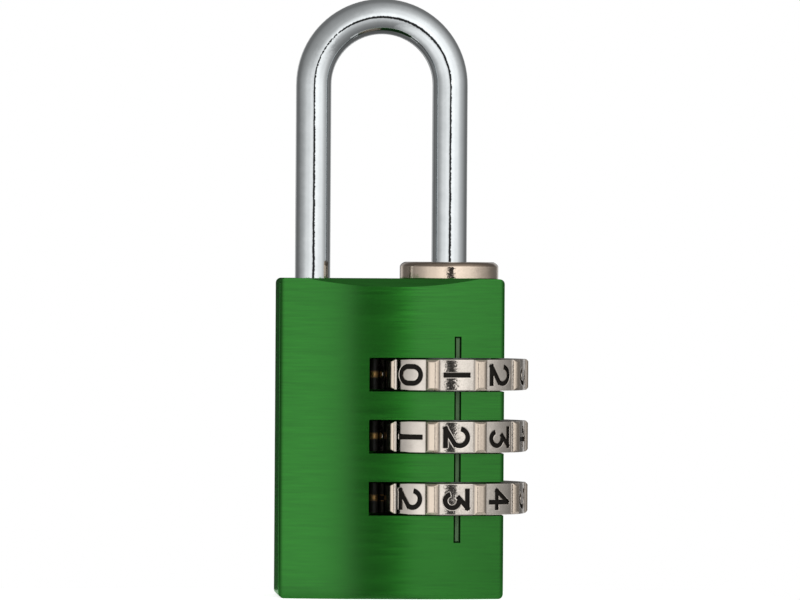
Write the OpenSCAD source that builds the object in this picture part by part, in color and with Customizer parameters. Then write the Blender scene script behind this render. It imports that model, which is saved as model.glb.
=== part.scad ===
// Three-dial combination padlock: steel bow, solid curved body, dials open to the right
// Millimetres, +Z up, origin at the centre of the body's bottom face, front towards -Y

/* [Body] */
// Width of the body, left to right
body_w = 20; // [19:0.5:24]
// Height of the body
body_h = 28.4; // [27:0.2:34]
// Thickness of the body at the middle of its curved faces
body_t = 11.25; // [11:0.25:12.5]
// Radius of the curved front and back faces
face_r = 40; // [34:1:60]
// Radius of the four corners seen from the front
corner_r = 0.5; // [0.2:0.05:0.8]
// Radius of the four upright edges
edge_r = 0.55; // [0.2:0.05:0.7]
// Depth of the flat bevel on the top front and top back edges
top_bevel = 0.75; // [0.4:0.05:1]
// Bevel that breaks the bottom front and bottom back edges
base_bevel = 0.2; // [0.05:0.05:0.3]
// Thickness of the floor under the dial bore
floor_t = 1.6; // [1:0.1:2]

/* [Shackle] */
// Diameter of the shackle bar
bar_d = 3.15; // [2.8:0.05:3.4]
// Distance of the short leg's centre from the body's left side
short_leg_inset = 3.1; // [2.8:0.1:4]
// Clear height from the body's top to the inside of the bow
bow_clear = 21.8; // [15:0.5:40]
// Depth of the short leg in the body
short_leg_in = 4.2; // [3:0.1:4.6]
// Bevel on the ends of both legs
leg_bevel = 0.4; // [0.2:0.05:0.6]
// Long leg below its lowest fin
leg_tail = 0.8; // [0.5:0.1:1.2]

/* [Dials] */
// Distance of the dial axis from the body's right side
axis_inset = 4.7; // [4.2:0.05:4.8]
// Height of the lowest dial's middle
low_dial_z = 8.9; // [8.6:0.1:10]
// Distance from one dial to the next
dial_pitch = 5.5; // [5.2:0.1:6]
// Height of a dial
dial_h = 2.75; // [2.6:0.05:3]
// Radius of a dial's round facets
facet_r = 6.85; // [6.4:0.05:7.2]
// Width of the grip ribs between the facets
rib_w = 1.3; // [0.9:0.05:1.4]
// Height of the grip ribs above the facets
rib_rise = 0.32; // [0.25:0.01:0.6]
// Radius along the edges of the grip ribs
rib_round = 0.5; // [0.1:0.05:0.6]
// Bevel around a dial's top and bottom rim
rim_bevel = 0.25; // [0.2:0.05:0.6]
// Turn of the digits from the front towards the right side
dial_turn = 2.5; // [0:0.5:4]

/* [Digits] */
// Digits at the index line, from the top dial down
code = [1, 2, 3]; // [0:1:9]
// Height of a digit
digit_h = 2.4; // [1.8:0.05:2.6]
// Width of a digit
digit_w = 1.9; // [1.5:0.05:2.2]
// Width of a digit's strokes
stroke_w = 0.42; // [0.25:0.01:0.48]
// Depth of the digits in the facets
engrave = 0.18; // [0.1:0.02:0.3]

/* [Index line] */
// Width of the engraved index line at the surface
index_w = 0.65; // [0.3:0.05:0.8]
// Width of the index line's floor, between its sloped walls
index_floor_w = 0.35; // [0.1:0.05:0.4]
// Depth of the engraved index line
index_depth = 0.18; // [0.1:0.02:0.3]
// Length of the index line above the top dial's slot
index_above = 1.9; // [1:0.1:2.5]
// Length of the index line below the bottom dial's slot
index_below = 2.4; // [1.5:0.1:4]
// Distance of the index line to the right of the dial axis
index_shift = 0.5; // [0:0.05:0.8]

/* [Slots] */
// Play above and below a dial in its slot
slot_play = 0.125; // [0.1:0.025:0.25]
// Gap between a dial and the back of its slot
slot_back_gap = 0.3; // [0.25:0.05:0.5]
// Distance of the slot's centre in front of the dial axis
slot_shift = 1.15; // [0.8:0.05:1.6]

/* [Code rings] */
// Thickness of a code ring's flange
flange_t = 1.4; // [1:0.1:1.6]
// Wall of a code ring behind its notches
ring_wall = 0.55; // [0.4:0.05:0.7]
// Depth of the notches that a dial's teeth sit in
notch_depth = 0.45; // [0.3:0.05:0.5]
// Width of the notches that a dial's teeth sit in
notch_w = 0.9; // [0.6:0.05:1.1]
// Height of a dial's teeth
tooth_h = 1.2; // [0.8:0.1:1.25]

/* [Locking comb] */
// Reach of a fin beyond the shackle bar
fin_reach = 1; // [0.7:0.05:1.1]
// Width of a fin and of the comb's spine
fin_w = 1; // [0.7:0.05:1.2]
// Height of a fin
fin_h = 1.2; // [0.8:0.1:1.4]
// Rise of a fin before a code ring stops it
fin_slack = 0.3; // [0.2:0.05:0.5]
// Depth of the comb's spine in the long leg
spine_depth = 0.9; // [0.6:0.05:1.1]

/* [Collar] */
// Diameter of the collar on top of the body
collar_d = 8.8; // [8.4:0.1:9.2]
// Height of the collar
collar_h = 1.5; // [1:0.1:1.8]
// Height of the collar's rounded top edge
collar_round = 0.4; // [0.2:0.05:0.6]
// Slope at which the rounded edge leaves the collar's wall
collar_slope = 20; // [0:5:40]
// Wire of the ring that holds the collar in the body
snap_wire_d = 0.7; // [0.5:0.05:0.8]
// Thickness of the washer between the collar and the top code ring
washer_t = 0.4; // [0.3:0.05:0.5]

/* [Detent leaves] */
// Thickness of a detent leaf
leaf_t = 0.2; // [0.15:0.01:0.25]
// Height of a detent leaf
leaf_h = 2.7; // [0.6:0.05:2.7]
// Radius of the rolled end that rests on a facet
eye_r = 0.4; // [0.32:0.02:0.5]
// Length of a detent leaf that is held in the body
leaf_grip = 0.9; // [0.6:0.1:1.3]
// Slope of a detent leaf, towards the back
leaf_slope = 55; // [50:1:60]

/* [Reset spring] */
// Wire of the reset spring
wire_d = 0.5; // [0.4:0.05:0.55]
// Turns of the reset spring
spring_turns = 3.5; // [2.5:0.5:3.5]
// Thickness of the washer on top of the reset spring
seat_t = 0.6; // [0.4:0.1:0.8]

/* [Clearances] */
// Gap of a still fit
fit_gap = 0.02; // [0.01:0.005:0.03]
// Gap of a turning or sliding fit
run_gap = 0.05; // [0.03:0.01:0.08]
// Gap around the short leg and around the long leg in the code rings
leg_gap = 0.15; // [0.1:0.01:0.2]
// Gap around the fins
fin_gap = 0.15; // [0.1:0.01:0.2]
// Gap between one code ring and the next
ring_gap = 0.1; // [0.06:0.02:0.14]
// Room under the short leg
leg_room = 0.6; // [0.4:0.1:1]

/* [Hidden] */
$fn = 64;

anodised_green = [0.16, 0.43, 0.15];
bright_steel = [0.78, 0.80, 0.82];
warm_nickel = [0.80, 0.76, 0.70];
brass = [0.78, 0.62, 0.30];
spring_steel = [0.55, 0.56, 0.58];

dial_count = len(code);
facet_count = 10;
facet_angle = 360 / facet_count;
cut = 1;

bar_r = bar_d / 2;
axis_x = body_w / 2 - axis_inset;
short_x = short_leg_inset - body_w / 2;
leg_spacing = axis_x - short_x;
bow_x = axis_x - leg_spacing / 2;
bow_z = body_h + bow_clear + bar_r - leg_spacing / 2;

dial_r = facet_r + rib_rise;
slot_h = dial_h + 2 * slot_play;
slot_r = dial_r + slot_back_gap + slot_shift;

// Code rings, from the inside out
gate_w = fin_w + 2 * fin_gap;
gate_reach = bar_r + fin_reach + run_gap;
chamber_r = norm([gate_w / 2, gate_reach]) + run_gap;
groove_r = chamber_r + ring_wall;
ring_r = groove_r + notch_depth;
bore_r = ring_r + run_gap;
ring_h = dial_pitch - ring_gap;

// Stack of code rings, from the bottom up
stack_bottom = dial_z(dial_count) - ring_h / 2;
stack_top = dial_z(1) + ring_h / 2;
seat_z = stack_bottom - run_gap - seat_t;
washer_z = stack_top + run_gap;
bush_z = washer_z + washer_t + fit_gap;
fin_stop_z = fin_z(1) + fin_h + dial_pitch + run_gap;
snap_z = (bush_z + body_h - top_bevel) / 2;

long_leg_z = fin_z(dial_count) - leg_tail;
short_leg_z = body_h - short_leg_in;

// Height of a dial's middle, counted from the top
function dial_z(n) = low_dial_z + (dial_count - n) * dial_pitch;

// Height of the underside of the fin below a code ring's flange
function fin_z(n) = dial_z(n) + ring_h / 2 - flange_t - fin_slack - fin_h;

// Depth of the curved front face at a place across the body
function front_y(x) = face_r - body_t / 2 - sqrt(face_r * face_r - x * x);

// Outline of the body from above: two curved faces, flat sides and rounded upright edges
module body_plan() {
    corner_x = body_w / 2 - edge_r;
    inner_r = face_r - edge_r;
    corner_y = sqrt(inner_r * inner_r - corner_x * corner_x) - face_r + body_t / 2;
    face_x = corner_x * face_r / inner_r;
    intersection() {
        translate([0, face_r - body_t / 2]) circle(r = face_r, $fn = 200);
        translate([0, body_t / 2 - face_r]) circle(r = face_r, $fn = 200);
        square([2 * face_x, body_t], center = true);
    }
    square([body_w, 2 * corner_y], center = true);
    for (x = [-corner_x, corner_x], y = [-corner_y, corner_y]) translate([x, y]) circle(r = edge_r);
}

// Outline of the body from the front
module body_front() {
    corner_x = body_w / 2 - corner_r;
    translate([-corner_x, 0]) square([2 * corner_x, body_h]);
    translate([-body_w / 2, corner_r]) square([body_w, body_h - 2 * corner_r]);
    for (x = [-corner_x, corner_x], y = [corner_r, body_h - corner_r]) translate([x, y]) circle(r = corner_r);
}

// Outline of the body from the side, with the bevels along its top and bottom edges
module body_side() {
    y = body_t / 2;
    polygon([[-y, base_bevel], [base_bevel - y, 0], [y - base_bevel, 0], [y, base_bevel],
             [y, body_h - top_bevel], [y - top_bevel, body_h], [top_bevel - y, body_h],
             [-y, body_h - top_bevel]]);
}

// Engraved line on the front face, over the digits in use
module index_cut() {
    x = axis_x + index_shift;
    bottom = dial_z(dial_count) - slot_h / 2 - index_below;
    top = dial_z(1) + slot_h / 2 + index_above;
    half_w = index_w / 2;
    half_floor = index_floor_w / 2;
    translate([x, front_y(x), bottom]) linear_extrude(top - bottom)
        polygon([[-half_floor, index_depth], [half_floor, index_depth], [half_w, 0], [half_w, -cut],
                 [-half_w, -cut], [-half_w, 0]]);
}

module body() {
    color(anodised_green)
    difference() {
        intersection() {
            linear_extrude(body_h) body_plan();
            rotate([90, 0, 0]) linear_extrude(body_t, center = true) body_front();
            rotate([90, 0, 90]) linear_extrude(body_w, center = true) body_side();
        }
        translate([axis_x, 0, floor_t]) cylinder(h = body_h, r = bore_r);
        translate([axis_x, 0, snap_z]) snap_groove();
        translate([short_x, 0, short_leg_z - leg_room]) cylinder(h = body_h, r = bar_r + leg_gap);
        for (n = [1 : dial_count]) {
            translate([axis_x, -slot_shift, dial_z(n)])
                cylinder(h = slot_h, r = slot_r, center = true, $fn = 120);
            leaf_strip(n, fit_gap);
        }
        index_cut();
    }
}

// Round groove for the snap ring, half in the body and half in the collar's spigot
module snap_groove() {
    rotate_extrude() translate([bore_r, 0]) circle(d = snap_wire_d + 2 * fit_gap, $fn = 32);
}

// Collar on the body with a spigot that closes the dial bore and guides the long leg
module collar_bush() {
    spigot_h = body_h - bush_z;
    edge_arc_r = collar_round / (1 - sin(collar_slope));
    rim_r = collar_d / 2 - edge_arc_r * cos(collar_slope);
    color(warm_nickel)
    translate([axis_x, 0, 0])
    difference() {
        union() {
            translate([0, 0, bush_z]) cylinder(h = spigot_h, r = bore_r - fit_gap);
            translate([0, 0, body_h]) rotate_extrude() {
                square([rim_r, collar_h]);
                square([collar_d / 2, collar_h - collar_round]);
                intersection() {
                    translate([rim_r, collar_h - edge_arc_r]) circle(r = edge_arc_r);
                    square([collar_d / 2, collar_h]);
                }
            }
        }
        translate([0, 0, bush_z - cut]) cylinder(h = fin_stop_z - bush_z + cut, r = chamber_r);
        translate([0, 0, bush_z - cut]) cylinder(h = spigot_h + collar_h + 2 * cut, r = bar_r + run_gap);
        translate([0, 0, snap_z]) snap_groove();
    }
}

// Open wire ring that locks the collar in the bore
module snap_ring() {
    opening = 40;
    color(spring_steel)
    translate([axis_x, 0, snap_z])
    rotate(opening / 2)
    rotate_extrude(angle = 360 - opening)
    translate([bore_r, 0])
    circle(d = snap_wire_d, $fn = 32);
}

// Flat ring in the dial bore
module bore_washer(z, thickness, hole_r) {
    translate([axis_x, 0, z])
    difference() {
        cylinder(h = thickness, r = bore_r - run_gap);
        translate([0, 0, -cut]) cylinder(h = thickness + 2 * cut, r = hole_r);
    }
}

module thrust_washer() {
    color(brass) bore_washer(washer_z, washer_t, chamber_r);
}

module spring_seat() {
    color(spring_steel) bore_washer(seat_z, seat_t, bar_r + leg_gap);
}

// Leg of the shackle with a bevelled lower end
module leg(x, z) {
    translate([x, 0, z + leg_bevel]) cylinder(h = bow_z - z - leg_bevel, r = bar_r);
    translate([x, 0, z]) cylinder(h = leg_bevel, r1 = bar_r - leg_bevel, r2 = bar_r);
}

module shackle() {
    slot_z = fin_z(dial_count) - fit_gap;
    color(bright_steel)
    difference() {
        union() {
            leg(axis_x, long_leg_z);
            leg(short_x, short_leg_z);
            translate([bow_x, 0, bow_z]) rotate([90, 0, 0]) rotate_extrude(angle = 180)
                translate([leg_spacing / 2, 0]) circle(r = bar_r);
        }
        translate([axis_x - fin_w / 2 - fit_gap, bar_r - spine_depth - fit_gap, slot_z])
            cube([fin_w + 2 * fit_gap, bar_r, fin_z(1) + fin_h + fit_gap - slot_z]);
    }
}

// Spine in the back of the long leg, with a fin for each code ring
module locking_comb() {
    bottom = fin_z(dial_count);
    color(spring_steel)
    translate([axis_x - fin_w / 2, bar_r - spine_depth, 0]) {
        translate([0, 0, bottom]) cube([fin_w, spine_depth - 2 * fit_gap, fin_z(1) + fin_h - bottom]);
        for (n = [1 : dial_count]) translate([0, 0, fin_z(n)]) cube([fin_w, spine_depth + fin_reach, fin_h]);
    }
}

// Outline of a dial from above: round facets with grip ribs between them
module dial_outline() {
    crest_w = rib_w - 2 * rib_round;
    circle(r = facet_r, $fn = 120);
    for (k = [1 : facet_count]) rotate(k * facet_angle) {
        translate([0, -rib_w / 2]) square([dial_r - rib_round, rib_w]);
        if (crest_w > 0) translate([0, -crest_w / 2]) square([dial_r, crest_w]);
        for (side = [-1, 1])
            translate([dial_r - rib_round, side * (rib_w / 2 - rib_round)]) circle(r = rib_round, $fn = 32);
    }
}

// Half section of the bevelled disc that trims a dial's rims
module dial_section() {
    rim_r = norm([dial_r, rib_w / 2]);
    z = dial_h / 2;
    polygon([[0, -z], [rim_r - rim_bevel, -z], [rim_r, rim_bevel - z],
             [rim_r, z - rim_bevel], [rim_r - rim_bevel, z], [0, z]]);
}

// Number dial on a code ring, with inner teeth in the ring's notches
module dial(n) {
    color(warm_nickel)
    translate([axis_x, 0, dial_z(n)])
    difference() {
        union() {
            difference() {
                intersection() {
                    rotate(dial_turn) linear_extrude(dial_h, center = true) dial_outline();
                    rotate_extrude() dial_section();
                }
                cylinder(h = dial_h + 2 * cut, r = bore_r, center = true);
            }
            for (k = [1 : facet_count]) rotate(k * facet_angle)
                translate([groove_r + run_gap, run_gap - notch_w / 2, -tooth_h])
                cube([notch_depth + run_gap, notch_w - 2 * run_gap, tooth_h]);
        }
        digit_cuts(n);
    }
}

// Digits around a dial, cut to an even depth in its round facets
module digit_cuts(n) {
    intersection() {
        for (k = [0 : facet_count - 1]) rotate(dial_turn + k * facet_angle)
            rotate([0, 90, 0]) rotate([90, 0, 0])
            linear_extrude(dial_r + cut) digit((code[n - 1] + k) % facet_count);
        difference() {
            cylinder(h = dial_h, r = dial_r, center = true, $fn = 120);
            cylinder(h = dial_h + 2 * cut, r = facet_r - engrave, center = true, $fn = 120);
        }
    }
}

// Straight stroke of a digit
module bar(from, to) {
    run = to - from;
    translate(from) rotate(atan2(run.y, run.x)) translate([-stroke_w / 2, -stroke_w / 2])
        square([norm(run) + stroke_w, stroke_w]);
}

// Curved stroke of a digit, anticlockwise from one angle to another
module curve(centre, r, from, to) {
    reach = 2 * r + stroke_w;
    steps = 6;
    translate(centre) intersection() {
        difference() {
            circle(r = r + stroke_w / 2, $fn = 48);
            circle(r = r - stroke_w / 2, $fn = 48);
        }
        polygon(concat([[0, 0]], [for (i = [0 : steps]) let (a = from + (to - from) * i / steps)
            reach * [cos(a), sin(a)]]));
    }
}

// Full round stroke of a digit
module loop(centre, r) {
    translate(centre) difference() {
        circle(r = r + stroke_w / 2, $fn = 48);
        circle(r = r - stroke_w / 2, $fn = 48);
    }
}

// Plain digit about its own middle
module digit(d) {
    a = (digit_w - stroke_w) / 2;
    b = (digit_h - stroke_w) / 2;
    bowl = 0.62 * b;
    if (d == 0) {
        curve([0, b - a], a, 0, 180);
        curve([0, a - b], a, 180, 360);
        for (x = [-a, a]) translate([x - stroke_w / 2, a - b]) square([stroke_w, 2 * (b - a)]);
    }
    if (d == 1) bar([0, -b], [0, b]);
    if (d == 2) {
        curve([0, b - a], a, -35, 170);
        bar([-a, -b], [a * cos(35), b - a - a * sin(35)]);
        bar([-a, -b], [a, -b]);
    }
    if (d == 3) {
        bar([-a, b], [a, b]);
        bar([a, b], [-a / 6, 2 * bowl - b]);
        curve([a - bowl, bowl - b], bowl, -165, 100);
    }
    if (d == 4) {
        bar([a / 3, b], [-a, -b / 3]);
        bar([-a, -b / 3], [a, -b / 3]);
        bar([a / 3, -b], [a / 3, b]);
    }
    if (d == 5) {
        bar([-0.8 * a, b], [0.9 * a, b]);
        bar([-0.8 * a, b], [-0.9 * a, b / 8]);
        curve([a - bowl, bowl - b], bowl, -150, 140);
    }
    if (d == 6) six(a, b);
    if (d == 7) {
        bar([-a, b], [a, b]);
        bar([a, b], [-a / 3, -b]);
    }
    if (d == 8) {
        loop([0, b / 2], b / 2);
        loop([0, bowl - b], bowl);
    }
    if (d == 9) rotate(180) six(a, b);
}

// Six, and nine when turned over
module six(a, b) {
    ring = 0.66 * b;
    loop([0, ring - b], ring);
    bar([-0.82 * ring, ring - b + 0.5 * ring], [a / 2, b]);
}

// Cup that turns with a dial, with a gate in its flange for a fin
module code_ring(n) {
    groove_z = ring_h / 2 + run_gap;
    groove_h = tooth_h + 2 * run_gap;
    notch_h = groove_z + groove_h / 2;
    color(spring_steel)
    translate([axis_x, 0, dial_z(n) - ring_h / 2])
    difference() {
        cylinder(h = ring_h, r = ring_r);
        translate([0, 0, -cut]) cylinder(h = ring_h - flange_t + cut, r = chamber_r);
        translate([0, 0, -cut]) cylinder(h = ring_h + 2 * cut, r = bar_r + leg_gap);
        translate([-gate_w / 2, 0, -cut]) cube([gate_w, gate_reach, ring_h + 2 * cut]);
        translate([0, 0, groove_z]) difference() {
            cylinder(h = groove_h, r = ring_r + cut);
            translate([0, 0, -cut]) cylinder(h = groove_h + 2 * cut, r = groove_r);
        }
        for (k = [1 : facet_count]) rotate(k * facet_angle)
            translate([groove_r, -notch_w / 2, -cut]) cube([notch_depth + cut, notch_w, notch_h + cut]);
    }
}

// Flat strip of a detent leaf from its rolled end into the body, grown by a gap for its slit
module leaf_strip(n, gap = 0) {
    start = eye_place();
    run = [-cos(leaf_slope), sin(leaf_slope)];
    from_slot = start + [0, slot_shift];
    along = from_slot * run;
    wall = sqrt(along * along + slot_r * slot_r - from_slot * from_slot) - along;
    first = gap > 0 ? wall - leaf_grip : eye_r - leaf_t / 2;
    translate([axis_x + start.x, start.y, dial_z(n)])
        rotate(180 - leaf_slope)
        translate([first, -leaf_t / 2 - gap, -leaf_h / 2 - gap])
        cube([wall + leaf_grip + gap - first, leaf_t + 2 * gap, leaf_h + 2 * gap]);
}

// Centre of a leaf's rolled end, against the second facet to the left of the front
function eye_place() = let (a = 2 * facet_angle - dial_turn)
    (facet_r + fit_gap + eye_r) * [-sin(a), -cos(a)];

// Springy strip whose rolled end drops between two grip ribs at each digit
module detent_leaf(n) {
    eye = eye_place();
    color(brass)
    difference() {
        union() {
            leaf_strip(n);
            translate([axis_x + eye.x, eye.y, dial_z(n)]) cylinder(h = leaf_h, r = eye_r, center = true);
        }
        translate([axis_x + eye.x, eye.y, dial_z(n)])
            cylinder(h = leaf_h + 2 * cut, r = eye_r - leaf_t, center = true, $fn = 32);
    }
}

// Middle line of the reset spring's wire
spring_steps = 12;
spring_sides = 6;
spring_r = bore_r - wire_d / 2 - leg_gap;
spring_low = floor_t + fit_gap + wire_d / 2;
spring_high = seat_z - fit_gap - wire_d / 2;
spring_rings = round(spring_turns * spring_steps);
spring_path = [for (i = [0 : spring_rings]) let (a = 360 * i / spring_steps)
    [spring_r * cos(a), spring_r * sin(a), spring_low + (spring_high - spring_low) * i / spring_rings]];
spring_gap = min([for (i = [0 : spring_rings - spring_steps])
    norm(spring_path[i + spring_steps] - spring_path[i])]) - wire_d;
echo(spring_gap = spring_gap);

// Coil that pushes the code rings up and gives way when a new code is set
module reset_spring() {
    points = [for (i = [0 : spring_rings], k = [0 : spring_sides - 1])
        let (a = 360 * i / spring_steps, t = 360 * k / spring_sides)
        spring_path[i] + wire_d / 2 * [cos(t) * cos(a), cos(t) * sin(a), sin(t)]];
    sides = [for (i = [0 : spring_rings - 1], k = [0 : spring_sides - 1])
        let (p = i * spring_sides, q = (k + 1) % spring_sides)
        each [[p + k, p + q, p + k + spring_sides], [p + q, p + q + spring_sides, p + k + spring_sides]]];
    last = spring_rings * spring_sides;
    ends = [for (k = [1 : spring_sides - 2]) each [[0, k + 1, k], [last, last + k, last + k + 1]]];
    color(spring_steel) translate([axis_x, 0, 0]) polyhedron(points, concat(sides, ends));
}

body();
collar_bush();
snap_ring();
thrust_washer();
shackle();
locking_comb();
dial(1);  // dial_1
dial(2);  // dial_2
dial(3);  // dial_3
code_ring(1);  // code_ring_1
code_ring(2);  // code_ring_2
code_ring(3);  // code_ring_3
detent_leaf(1);  // detent_leaf_1
detent_leaf(2);  // detent_leaf_2
detent_leaf(3);  // detent_leaf_3
spring_seat();
reset_spring();
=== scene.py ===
import math

import bpy
from mathutils import Matrix, Vector

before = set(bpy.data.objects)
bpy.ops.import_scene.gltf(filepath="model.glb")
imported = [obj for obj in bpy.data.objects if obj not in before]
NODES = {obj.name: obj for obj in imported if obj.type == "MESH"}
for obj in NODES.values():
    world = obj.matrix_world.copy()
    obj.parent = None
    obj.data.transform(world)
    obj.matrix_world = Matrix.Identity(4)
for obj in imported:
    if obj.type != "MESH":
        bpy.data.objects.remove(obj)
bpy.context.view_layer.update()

MM = 0.001
WHITE = (1, 1, 1, 1)

# Sizes of the dials, as in the part's source
DIAL_AXIS_X = 5.3 * MM
FACET_R = 6.85 * MM
ENGRAVE = 0.18 * MM
LOW_DIAL_Z = 8.9 * MM
DIAL_PITCH = 5.5 * MM
DIAL_H = 2.75 * MM

# Sizes of the body's curved front and of the index line in it, as in the part's source
BODY_T = 11.25 * MM
FACE_R = 40 * MM
FACE_CENTRE_Y = FACE_R - BODY_T / 2
INDEX_X = 5.8 * MM
INDEX_W = 0.65 * MM
INDEX_DEPTH = 0.18 * MM
INDEX_LOW = 5.0 * MM
INDEX_HIGH = 23.3 * MM

# Camera: where it stands, and where it looks
CAMERA_AZIMUTH = math.radians(-3.6)
CAMERA_DISTANCE = 690 * MM
CAMERA_HEIGHT = 31 * MM
CAMERA_YAW = math.radians(-0.0768)
CAMERA_PITCH = math.radians(-0.3752)
CAMERA_ROLL = math.radians(0.3578)
CAMERA_LENS = 347.8
SENSOR_WIDTH = 36
NEAR_CLIP = 10 * MM

# Light tent: a dim shell, a bright side to the left and right of a dark lens hole, and a low glow behind.
# Levels go by the angle from that hole in degrees, and the sides' shares by height in millimetres.
# Each side fades over a stretch of X in millimetres, and the glow behind as its direction gets steeper.
TENT_CENTRE = Vector((0, 0, 26)) * MM
TENT_REACH = Vector((100, 450, 350)) * MM
TENT_SEGMENTS = 96
TENT_RINGS = 48
HOLE_AZIMUTH = math.radians(1)
HOLE_ELEVATION = math.radians(-1.5)
TENT_PEAK = 2
TOP_GAIN = 0.35
LEFT_FADE = (-80, -34)
RIGHT_FADE = (-70, 40)
BACK_FADE = (0.25, 0.5)
SHELL_LEVELS = [
    (0, 0.02), (6.9, 0.02), (8.8, 0.52), (20, 0.45), (35, 0.29), (60, 0.2), (90, 0.15), (110, 0.1),
    (165, 0.1), (169, 0.012), (180, 0.012),
]
SIDE_LEVELS = [
    (0, 0), (6.9, 0), (8.8, 0.3), (16, 0.36), (30, 0.43), (46, 0.45), (54, 0.41), (60, 0.33), (66, 0.26),
    (72, 0.2), (78, 0.16), (85, 0.125), (92, 0.09), (105, 0.04), (125, 0),
]
BACK_LEVELS = [(140, 0), (150, 0.22), (164, 0.22), (169, 0), (180, 0)]
RIGHT_SHARES = [
    (-125, 0), (-25, 0), (-13, 0.1), (-5, 0.4), (20, 0.8), (50, 1.12), (110, 1.15), (150, 1.1),
    (220, 0.8), (376, 0.5),
]
LEFT_SHARES = [
    (-324, 0.7), (-125, 0.95), (-52, 1.05), (-10, 1.03), (20, 0.85), (45, 0.65), (75, 0.3), (106, 0.03),
]

# Floor: a pale card that glows where it is seen, and less where metal mirrors it
FLOOR_HALF_W = 35 * MM
FLOOR_HALF_D = 12 * MM
FLOOR_COLOUR = (0.85, 0.85, 0.85, 1)
FLOOR_GLOW = 0.75
FLOOR_MIRRORED = 0.4

# Noise values taken as the lowest and the highest, in plain and in strong contrast, and as the middle
NOISE_SPAN = (0.3, 0.7)
STRONG_SPAN = (0.35, 0.65)
NOISE_MIDDLE = 0.5
# Openness from deep in a corner to an open face, for the shade painted into inner corners
CORNER_SPAN = (0.55, 0.9)
CORNER_SAMPLES = 8
EDGE_SAMPLES = 8
# Steepness of the normal above which a face counts as an end
END_STEEPNESS = 0.9

# Green of the body: brushed face, cut ends, painted shade in inner corners and on the index line's walls, and
# the index line's floor
BRUSHED_SIDES = (300, 300, 11000)
BRUSHED_ENDS = (300, 11000, 300)
GREEN_DARK = (0.014, 0.122, 0.0125)
GREEN_LIGHT = (0.0195, 0.163, 0.0165)
GREEN_END = (0.016, 0.07, 0.016)
# Painted shade: darker green deep in inner corners, and how far it reaches
GREEN_CORNER_SHADE = (0.004, 0.012, 0.004)
GREEN_SHADE_REACH = 0.16 * MM
GREEN_RIM_TINT = (0.02, 0.95, 0.02, 1)
GREEN_ROUGHNESS = (0.22, 0.26)
GREEN_TILT = 0.06
# Index line: walls painted near-black as shade, and a grey-green floor
INDEX_WALL_SHADE = (0.003, 0.02, 0.003)
INDEX_FLOOR = (0.095, 0.165, 0.085)
INDEX_FLOOR_ROUGHNESS = 0.5
# Lean of the body's normals, which sets the place of the dark band that its front mirrors
FACE_LEAN = (0.022, 0, 0)
# Shares of the index line's depth where its walls, painted dark as shade, and its floor begin and are full
WALL_SHARES = (0.1, 0.25)
FLOOR_SHARES = (0.85, 0.95)
# Depth in shares below which nothing belongs to the index line, and its length at each end without a floor
INDEX_REACH = 2
INDEX_END = 0.15 * MM

# Steel of the bow
STEEL_DARK = (0.52, 0.545, 0.555)
STEEL_LIGHT = (0.56, 0.585, 0.595)
STEEL_ROUGHNESS = (0.01, 0.06)
STEEL_TILT = 0.07

# Nickel of the collar and of the dials
# Painted shade deep in the nickel's inner corners, and how far it reaches
NICKEL_CORNER_SHADE = (0.13, 0.09, 0.06)
NICKEL_SHADE_REACH = 0.35 * MM
NICKEL_EDGE = 0.12 * MM
NICKEL_ROUGHNESS = (0.05, 0.14)
NICKEL_TILT = 0.2
PITS_SHIFT = (0.1, 0.2, 0.3)
COLLAR_DARK = (0.56, 0.465, 0.375)
COLLAR_LIGHT = (0.63, 0.525, 0.425)
COLLAR_RIM = (0.30, 0.235, 0.18)
# Steepness over which the collar's rim comes in and goes out
RIM_START = (0.2, 0.5)
RIM_END = (0.9, 0.98)
DIAL_DARK = (0.53, 0.485, 0.435)
DIAL_LIGHT = (0.60, 0.55, 0.495)
# Dial end faces, darkened as painted shade in the narrow gaps above and below the dials
DIAL_END_SHADE = (0.22, 0.20, 0.18)
DIAL_RIB = (0.57, 0.485, 0.40)
# Heights above the facets between which a rib comes in
RIB_START = 0.08 * MM
RIB_FULL = 0.16 * MM
RIB_ROUGHNESS = 0.24
# Black paint in the digits: depths in shares of the engraving, and a margin at the dial's ends
PAINT = (0.012, 0.010, 0.008)
PAINT_TOP = 0.4
PAINT_BOTTOM = 1.5
PAINT_MARGIN = 0.15 * MM
DULL_ROUGHNESS = 0.55
PLATE_SPECULAR = 0.5
PAINT_SPECULAR_LOSS = 0.4

# Brass of the detent leaves: black as painted shade, and bright metal as a painted highlight within a ragged
# stretch about the middle
LEAF_SHADE_BLACK = (0.008, 0.007, 0.006)
LEAF_GLINT = (0.30, 0.18, 0.07)
LEAF_ROUGHNESS = (0.4, 0.55)
GLINT_SPAN = (0.25 * MM, 0.5 * MM)
GLINT_RAGGED = 0.3 * MM

# Inner pieces
BRASS_DARK = (0.60, 0.42, 0.16)
BRASS_LIGHT = (0.72, 0.52, 0.22)
BRASS_ROUGHNESS = 0.28
SPRING_DARK = (0.22, 0.22, 0.23)
SPRING_LIGHT = (0.30, 0.30, 0.31)
SPRING_ROUGHNESS = 0.3
ROUGHNESS_SPREAD = 0.05
TURNED_GRAIN = (1200, 1200, 4000)
TURNED_TILT = 0.05


def add(tree, kind, inputs=None, **settings):
    """New node with its settings and inputs; an input that is a socket is linked."""
    node = tree.nodes.new(kind)
    for name, value in settings.items():
        setattr(node, name, value)
    for name, value in (inputs or {}).items():
        if isinstance(value, bpy.types.NodeSocket):
            tree.links.new(value, node.inputs[name])
        else:
            node.inputs[name].default_value = value
    return node


def math_node(tree, operation, first, second=0.0):
    return add(tree, "ShaderNodeMath", {0: first, 1: second}, operation=operation).outputs[0]


def product(tree, value, *factors):
    for factor in factors:
        value = math_node(tree, "MULTIPLY", value, factor)
    return value


def distance(tree, value, centre):
    return math_node(tree, "ABSOLUTE", math_node(tree, "SUBTRACT", value, centre))


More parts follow.
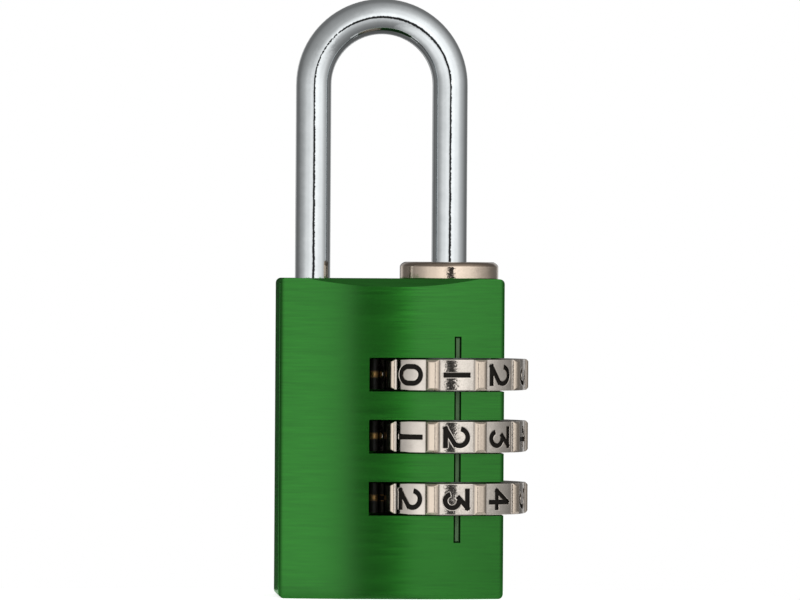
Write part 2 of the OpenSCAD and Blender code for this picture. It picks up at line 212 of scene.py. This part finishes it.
def vector_node(tree, operation, first, second=(0, 0, 0)):
    return add(tree, "ShaderNodeVectorMath", {0: first, 1: second}, operation=operation).outputs["Vector"]


def scaled(tree, vector, scale):
    return add(tree, "ShaderNodeVectorMath", {0: vector, "Scale": scale}, operation="SCALE").outputs["Vector"]


def xyz(tree, vector):
    """Sockets X, Y and Z of a vector."""
    return add(tree, "ShaderNodeSeparateXYZ", {0: vector}).outputs


def axis_distance(tree, place, axis_x, axis_y):
    """Distance from an upright axis."""
    parts = xyz(tree, place)
    spoke = add(tree, "ShaderNodeCombineXYZ", {
        "X": math_node(tree, "SUBTRACT", parts["X"], axis_x),
        "Y": math_node(tree, "SUBTRACT", parts["Y"], axis_y),
    }).outputs[0]
    return add(tree, "ShaderNodeVectorMath", {0: spoke}, operation="LENGTH").outputs["Value"]


def blend_colours(tree, factor, low, high):
    node = add(tree, "ShaderNodeMix", {0: factor}, data_type="RGBA")
    for identifier, value in (("A_Color", low), ("B_Color", high)):
        place = next(socket for socket in node.inputs if socket.identifier == identifier)
        if isinstance(value, bpy.types.NodeSocket):
            tree.links.new(value, place)
        else:
            place.default_value = (*value, 1)
    return next(socket for socket in node.outputs if socket.identifier == "Result_Color")


def blend_vectors(tree, factor, low, high):
    return add(tree, "ShaderNodeMix", {0: factor, 4: low, 5: high}, data_type="VECTOR").outputs[1]


def noise(tree, vector, scale=1.0, detail=2.0, roughness=0.5):
    inputs = {"Vector": vector, "Scale": scale, "Detail": detail, "Roughness": roughness}
    return add(tree, "ShaderNodeTexNoise", inputs).outputs[0]


def remap(tree, value, span, low, high):
    """Low to high as the value crosses the span, and level outside it."""
    return add(tree, "ShaderNodeMapRange", {0: value, 1: span[0], 2: span[1], 3: low, 4: high}).outputs[0]


def new_tree(owner):
    owner.use_nodes = True
    owner.node_tree.nodes.clear()
    return owner.node_tree


def new_material(name):
    material = bpy.data.materials.new(name)
    return material, new_tree(material)


def white_light(tree, strength):
    return add(tree, "ShaderNodeEmission", {"Color": WHITE, "Strength": strength}).outputs[0]


def seen_directly(tree, mirrored=1.0):
    """1 on camera and transmission rays, mirrored on glossy rays, else 0."""
    path = add(tree, "ShaderNodeLightPath").outputs
    seen = math_node(tree, "MAXIMUM", path["Is Camera Ray"], product(tree, path["Is Glossy Ray"], mirrored))
    return math_node(tree, "MAXIMUM", seen, path["Is Transmission Ray"])


def make_camera():
    data = bpy.data.cameras.new("camera")
    data.lens = CAMERA_LENS
    data.sensor_width = SENSOR_WIDTH
    data.clip_start = NEAR_CLIP
    camera = bpy.data.objects.new("camera", data)
    bpy.context.collection.objects.link(camera)
    across = math.sin(CAMERA_AZIMUTH) * CAMERA_DISTANCE
    back = math.cos(CAMERA_AZIMUTH) * CAMERA_DISTANCE
    place = Vector((across, -back, CAMERA_HEIGHT))
    turn = (Matrix.Rotation(CAMERA_AZIMUTH + CAMERA_YAW, 4, "Z")
            @ Matrix.Rotation(math.pi / 2 + CAMERA_PITCH, 4, "X") @ Matrix.Rotation(CAMERA_ROLL, 4, "Z"))
    camera.matrix_world = Matrix.Translation(place) @ turn
    bpy.context.scene.camera = camera


def make_world():
    world = bpy.data.worlds.new("studio")
    bpy.context.scene.world = world
    tree = new_tree(world)
    background = add(tree, "ShaderNodeBackground", {"Color": WHITE, "Strength": seen_directly(tree)})
    add(tree, "ShaderNodeOutputWorld", {"Surface": background.outputs[0]})


def level_ramp(tree, value, levels):
    """Level at a value, on straight lines between the (value, level) points."""
    start, end = levels[0][0], levels[-1][0]
    ramp = add(tree, "ShaderNodeValToRGB", {"Fac": remap(tree, value, (start, end), 0, 1)})
    elements = ramp.color_ramp.elements
    while len(elements) < len(levels):
        elements.new(1)
    for element, (point, level) in zip(elements, levels):
        element.position = (point - start) / (end - start)
        element.color = (level, level, level, 1)
    return ramp.outputs["Color"]


def make_tent():
    """Soft tent around the lock: bright at both sides of a dark lens hole, dim behind."""
    bpy.ops.mesh.primitive_uv_sphere_add(segments=TENT_SEGMENTS, ring_count=TENT_RINGS, radius=1,
                                         location=TENT_CENTRE, scale=TENT_REACH)
    tent = bpy.context.object
    tent.name = "light_tent"
    tent.visible_camera = False
    tent.visible_shadow = False
    material, tree = new_material("tent_light")
    place = add(tree, "ShaderNodeNewGeometry").outputs["Position"]
    way = vector_node(tree, "NORMALIZE", vector_node(tree, "SUBTRACT", place, TENT_CENTRE))
    hole_turn = Matrix.Rotation(HOLE_AZIMUTH, 3, "Z") @ Matrix.Rotation(-HOLE_ELEVATION, 3, "X")
    hole = hole_turn @ Vector((0, -1, 0))
    nearness = add(tree, "ShaderNodeVectorMath", {0: way, 1: hole}, operation="DOT_PRODUCT").outputs["Value"]
    angle = math_node(tree, "DEGREES", math_node(tree, "ARCCOSINE", nearness))
    spot = xyz(tree, scaled(tree, place, 1 / MM))
    left = product(tree, level_ramp(tree, spot["Z"], LEFT_SHARES), remap(tree, spot["X"], LEFT_FADE, 1, 0))
    right = product(tree, level_ramp(tree, spot["Z"], RIGHT_SHARES), remap(tree, spot["X"], RIGHT_FADE, 0, 1))
    sides = product(tree, level_ramp(tree, angle, SIDE_LEVELS), math_node(tree, "ADD", left, right))
    upward = xyz(tree, way)["Z"]
    gain = remap(tree, upward, (-1, 1), 1 - TOP_GAIN, 1 + TOP_GAIN)
    shell = product(tree, level_ramp(tree, angle, SHELL_LEVELS), gain)
    low_glow = remap(tree, math_node(tree, "ABSOLUTE", upward), BACK_FADE, 1, 0)
    back = product(tree, level_ramp(tree, angle, BACK_LEVELS), low_glow)
    level = math_node(tree, "ADD", math_node(tree, "ADD", sides, shell), back)
    add(tree, "ShaderNodeOutputMaterial", {"Surface": white_light(tree, product(tree, level, TENT_PEAK))})
    tent.data.materials.append(material)


def make_floor():
    ways = [(-1, -1), (1, -1), (1, 1), (-1, 1)]
    mesh = bpy.data.meshes.new("floor")
    mesh.from_pydata([(x * FLOOR_HALF_W, y * FLOOR_HALF_D, 0) for x, y in ways], [], [(0, 1, 2, 3)])
    floor = bpy.data.objects.new("floor", mesh)
    bpy.context.collection.objects.link(floor)
    material, tree = new_material("pale_floor")
    card = add(tree, "ShaderNodeBsdfDiffuse", {"Color": FLOOR_COLOUR}).outputs[0]
    glow = white_light(tree, product(tree, seen_directly(tree, FLOOR_MIRRORED), FLOOR_GLOW))
    both = add(tree, "ShaderNodeAddShader", {0: card, 1: glow})
    add(tree, "ShaderNodeOutputMaterial", {"Surface": both.outputs[0]})
    mesh.materials.append(material)


def surface(tree):
    """Place and normal of a spot on the piece, in the frame of the part at rest."""
    coords = add(tree, "ShaderNodeTexCoord").outputs
    return coords["Object"], coords["Normal"]


def corners(tree, reach):
    """Mask for painted shade: 1 deep in an inner corner of the piece itself, 0 on its open faces."""
    openness = add(tree, "ShaderNodeAmbientOcclusion", {"Distance": reach}, samples=CORNER_SAMPLES,
                   only_local=True).outputs["AO"]
    return remap(tree, openness, CORNER_SPAN, 1, 0)


def end_faces(tree, normal):
    """1 on faces that look straight up or down, else 0."""
    return math_node(tree, "GREATER_THAN", math_node(tree, "ABSOLUTE", xyz(tree, normal)["Z"]), END_STEEPNESS)


def finish_material(tree, **inputs):
    """Main shader and output; an underscore in an input's name stands for a space."""
    spaced = {name.replace("_", " "): value for name, value in inputs.items()}
    shader = add(tree, "ShaderNodeBsdfPrincipled", spaced)
    add(tree, "ShaderNodeOutputMaterial", {"Surface": shader.outputs[0]})


def tilted_normal(tree, amount, ways, edge=None, lean=None):
    """Normal, softened within edge of the edges, leaned, and tilted along each (noise, direction).

    A noise tilts it by up to half of amount either way.
    """
    if edge:
        normal = add(tree, "ShaderNodeBevel", {"Radius": edge}, samples=EDGE_SAMPLES).outputs["Normal"]
    else:
        normal = add(tree, "ShaderNodeNewGeometry").outputs["Normal"]
    if lean:
        normal = vector_node(tree, "ADD", normal, lean)
    for value, direction in ways:
        tilt = product(tree, math_node(tree, "SUBTRACT", value, NOISE_MIDDLE), amount)
        normal = vector_node(tree, "ADD", normal, scaled(tree, direction, tilt))
    return vector_node(tree, "NORMALIZE", normal)


def index_line(tree, place):
    """How much a spot is sunk into the index line, whose walls get painted shade, and how much it is on its
    floor.
    """
    reach = axis_distance(tree, place, 0, FACE_CENTRE_Y)

    def sunk(shares):
        span = (FACE_R - shares[1] * INDEX_DEPTH, FACE_R - shares[0] * INDEX_DEPTH)
        return remap(tree, reach, span, 1, 0)

    parts = xyz(tree, place)
    half_length = (INDEX_HIGH - INDEX_LOW) / 2
    off_centre = distance(tree, parts["Z"], (INDEX_LOW + INDEX_HIGH) / 2)
    off_middle = distance(tree, parts["X"], INDEX_X)
    here = product(
        tree, math_node(tree, "LESS_THAN", off_middle, INDEX_W / 2),
        math_node(tree, "GREATER_THAN", reach, FACE_R - INDEX_REACH * INDEX_DEPTH),
        math_node(tree, "LESS_THAN", off_centre, half_length))
    floored = math_node(tree, "LESS_THAN", off_centre, half_length - INDEX_END)
    return product(tree, sunk(WALL_SHARES), here), product(tree, sunk(FLOOR_SHARES), floored, here)


def green_anodised():
    """Green anodised aluminium, brushed from side to side, darker on its cut ends."""
    material, tree = new_material("anodised_green")
    place, normal = surface(tree)
    cut = end_faces(tree, normal)
    lines = blend_vectors(tree, cut, vector_node(tree, "MULTIPLY", place, BRUSHED_SIDES),
                          vector_node(tree, "MULTIPLY", place, BRUSHED_ENDS))
    fine = noise(tree, lines, roughness=0.7)
    broad = noise(tree, lines, scale=0.3, detail=1.0)
    wall_shade, floored = index_line(tree, place)
    colour = blend_colours(tree, remap(tree, fine, NOISE_SPAN, 0, 1), GREEN_DARK, GREEN_LIGHT)
    colour = blend_colours(tree, cut, colour, GREEN_END)
    # Painted shade: the green darkens deep in the body's own inner corners
    colour = blend_colours(tree, corners(tree, GREEN_SHADE_REACH), colour, GREEN_CORNER_SHADE)
    # Painted shade: near-black walls of the index line
    colour = blend_colours(tree, wall_shade, colour, INDEX_WALL_SHADE)
    colour = blend_colours(tree, floored, colour, INDEX_FLOOR)
    roughness = math_node(tree, "MAXIMUM", remap(tree, broad, NOISE_SPAN, *GREEN_ROUGHNESS),
                          product(tree, floored, INDEX_FLOOR_ROUGHNESS))
    tangent = add(tree, "ShaderNodeTangent", direction_type="RADIAL", axis="Z").outputs[0]
    finish_material(
        tree, Base_Color=colour, Metallic=1.0, Roughness=roughness, Anisotropic=0.7,
        Anisotropic_Rotation=0.25, Tangent=tangent,
        Normal=tilted_normal(tree, GREEN_TILT, [(fine, (1, 1, 0))], lean=FACE_LEAN),
        Specular_Tint=GREEN_RIM_TINT, Coat_Weight=0.3, Coat_Roughness=0.14)
    return material


def bright_steel():
    """Bright plated bar with small pits and dulled spots."""
    material, tree = new_material("bright_steel")
    place, _ = surface(tree)
    spots = noise(tree, place, scale=900.0, detail=3.0, roughness=0.6)
    pits = noise(tree, place, scale=5000.0)
    finish_material(
        tree, Base_Color=blend_colours(tree, remap(tree, spots, STRONG_SPAN, 0, 1), STEEL_DARK, STEEL_LIGHT),
        Metallic=1.0, Roughness=remap(tree, spots, NOISE_SPAN, *STEEL_ROUGHNESS),
        Normal=tilted_normal(tree, STEEL_TILT, [(pits, (1, 0, 1)), (spots, (1, 0, 0))]))
    return material


def nickel_nodes(tree, dark, light):
    """Nickel with a slightly uneven surface and painted shade in its inner corners: colour, roughness and
    normal.
    """
    place, _ = surface(tree)
    tone = noise(tree, place, scale=700.0)
    grain = noise(tree, place, scale=9000.0, roughness=0.6)
    pits = noise(tree, vector_node(tree, "ADD", place, PITS_SHIFT), scale=9000.0, roughness=0.6)
    colour = blend_colours(tree, remap(tree, tone, STRONG_SPAN, 0, 1), dark, light)
    # Painted shade: dark brown deep in inner corners, such as at the feet of the ribs
    colour = blend_colours(tree, corners(tree, NICKEL_SHADE_REACH), colour, NICKEL_CORNER_SHADE)
    return {
        "Base_Color": colour, "Metallic": 1.0, "Roughness": remap(tree, grain, NOISE_SPAN, *NICKEL_ROUGHNESS),
        "Normal": tilted_normal(tree, NICKEL_TILT, [(pits, (1, 1, 0)), (grain, (0, 0, 1))], edge=NICKEL_EDGE),
    }


def warm_nickel():
    """Warm nickel, darker on its sloping rim."""
    material, tree = new_material("warm_nickel")
    plate = nickel_nodes(tree, COLLAR_DARK, COLLAR_LIGHT)
    _, normal = surface(tree)
    upward = xyz(tree, normal)["Z"]
    sloping = product(tree, remap(tree, upward, RIM_START, 0, 1), remap(tree, upward, RIM_END, 1, 0))
    plate["Base_Color"] = blend_colours(tree, sloping, plate["Base_Color"], COLLAR_RIM)
    finish_material(tree, **plate)
    return material


def off_dial_middle(tree, place):
    """Distance above or below the middle of the nearest dial."""
    above = math_node(tree, "SUBTRACT", xyz(tree, place)["Z"], LOW_DIAL_Z)
    wrapped = add(tree, "ShaderNodeMath", {0: above, 1: DIAL_PITCH / 2, 2: -DIAL_PITCH / 2}, operation="WRAP")
    return math_node(tree, "ABSOLUTE", wrapped.outputs[0])


def dial_nickel():
    """Warm nickel with duller ribs and ends, painted shade on the ends, and black paint in the engraved
    digits.
    """
    material, tree = new_material("dial_nickel")
    plate = nickel_nodes(tree, DIAL_DARK, DIAL_LIGHT)
    place, normal = surface(tree)
    radius = axis_distance(tree, place, DIAL_AXIS_X, 0)
    raised = remap(tree, radius, (FACET_R + RIB_START, FACET_R + RIB_FULL), 0, 1)
    painted = product(
        tree, math_node(tree, "LESS_THAN", radius, FACET_R - PAINT_TOP * ENGRAVE),
        math_node(tree, "GREATER_THAN", radius, FACET_R - PAINT_BOTTOM * ENGRAVE),
        math_node(tree, "LESS_THAN", off_dial_middle(tree, place), DIAL_H / 2 - PAINT_MARGIN))
    end = end_faces(tree, normal)
    colour = blend_colours(tree, raised, plate["Base_Color"], DIAL_RIB)
    # Painted shade: the dial's end faces, which look up or down, are darkened
    colour = blend_colours(tree, end, colour, DIAL_END_SHADE)
    plate["Base_Color"] = blend_colours(tree, painted, colour, PAINT)
    plate["Metallic"] = math_node(tree, "SUBTRACT", 1.0, painted)
    dull = product(tree, math_node(tree, "MAXIMUM", painted, end), DULL_ROUGHNESS)
    for least in (dull, product(tree, raised, RIB_ROUGHNESS)):
        plate["Roughness"] = math_node(tree, "MAXIMUM", plate["Roughness"], least)
    plate["Specular_IOR_Level"] = math_node(tree, "SUBTRACT", PLATE_SPECULAR,
                                            product(tree, painted, PAINT_SPECULAR_LOSS))
    finish_material(tree, **plate)
    return material


def leaf_metal():
    """Brass painted black as shade, with a painted highlight of bright metal at the middle of the rolled end.
    """
    material, tree = new_material("leaf_brass")
    place, _ = surface(tree)
    grain = noise(tree, place, scale=2500.0, detail=3.0)
    # Mask of the painted highlight: a ragged band about the dial's middle height
    ragged = math_node(tree, "ADD", off_dial_middle(tree, place), product(tree, grain, GLINT_RAGGED))
    glint_band = remap(tree, ragged, GLINT_SPAN, 1, 0)
    finish_material(
        tree, Base_Color=blend_colours(tree, glint_band, LEAF_SHADE_BLACK, LEAF_GLINT), Metallic=glint_band,
        Roughness=remap(tree, grain, NOISE_SPAN, *LEAF_ROUGHNESS), Specular_IOR_Level=0.2)
    return material


def plain_metal(name, dark, light, rough):
    """Turned or rolled metal with a fine grain."""
    material, tree = new_material(name)
    place, _ = surface(tree)
    grain = noise(tree, vector_node(tree, "MULTIPLY", place, TURNED_GRAIN))
    finish_material(
        tree, Base_Color=blend_colours(tree, remap(tree, grain, NOISE_SPAN, 0, 1), dark, light), Metallic=1.0,
        Roughness=remap(tree, grain, NOISE_SPAN, rough - ROUGHNESS_SPREAD, rough + ROUGHNESS_SPREAD),
        Normal=tilted_normal(tree, TURNED_TILT, [(grain, (1, 1, 1))]))
    return material


def dress(material, *names):
    for name in names:
        slots = NODES[name].data.materials
        slots.clear()
        slots.append(material)


bpy.context.scene.view_settings.view_transform = "Standard"
make_camera()
make_world()
make_tent()
make_floor()

dress(green_anodised(), "body")
dress(bright_steel(), "shackle")
dress(warm_nickel(), "collar_bush")
dress(dial_nickel(), "dial_1", "dial_2", "dial_3")
dress(plain_metal("brass", BRASS_DARK, BRASS_LIGHT, BRASS_ROUGHNESS), "thrust_washer")
dress(leaf_metal(), "detent_leaf_1", "detent_leaf_2", "detent_leaf_3")
dress(plain_metal("spring_steel", SPRING_DARK, SPRING_LIGHT, SPRING_ROUGHNESS), "snap_ring", "locking_comb",
      "code_ring_1", "code_ring_2", "code_ring_3", "spring_seat", "reset_spring")
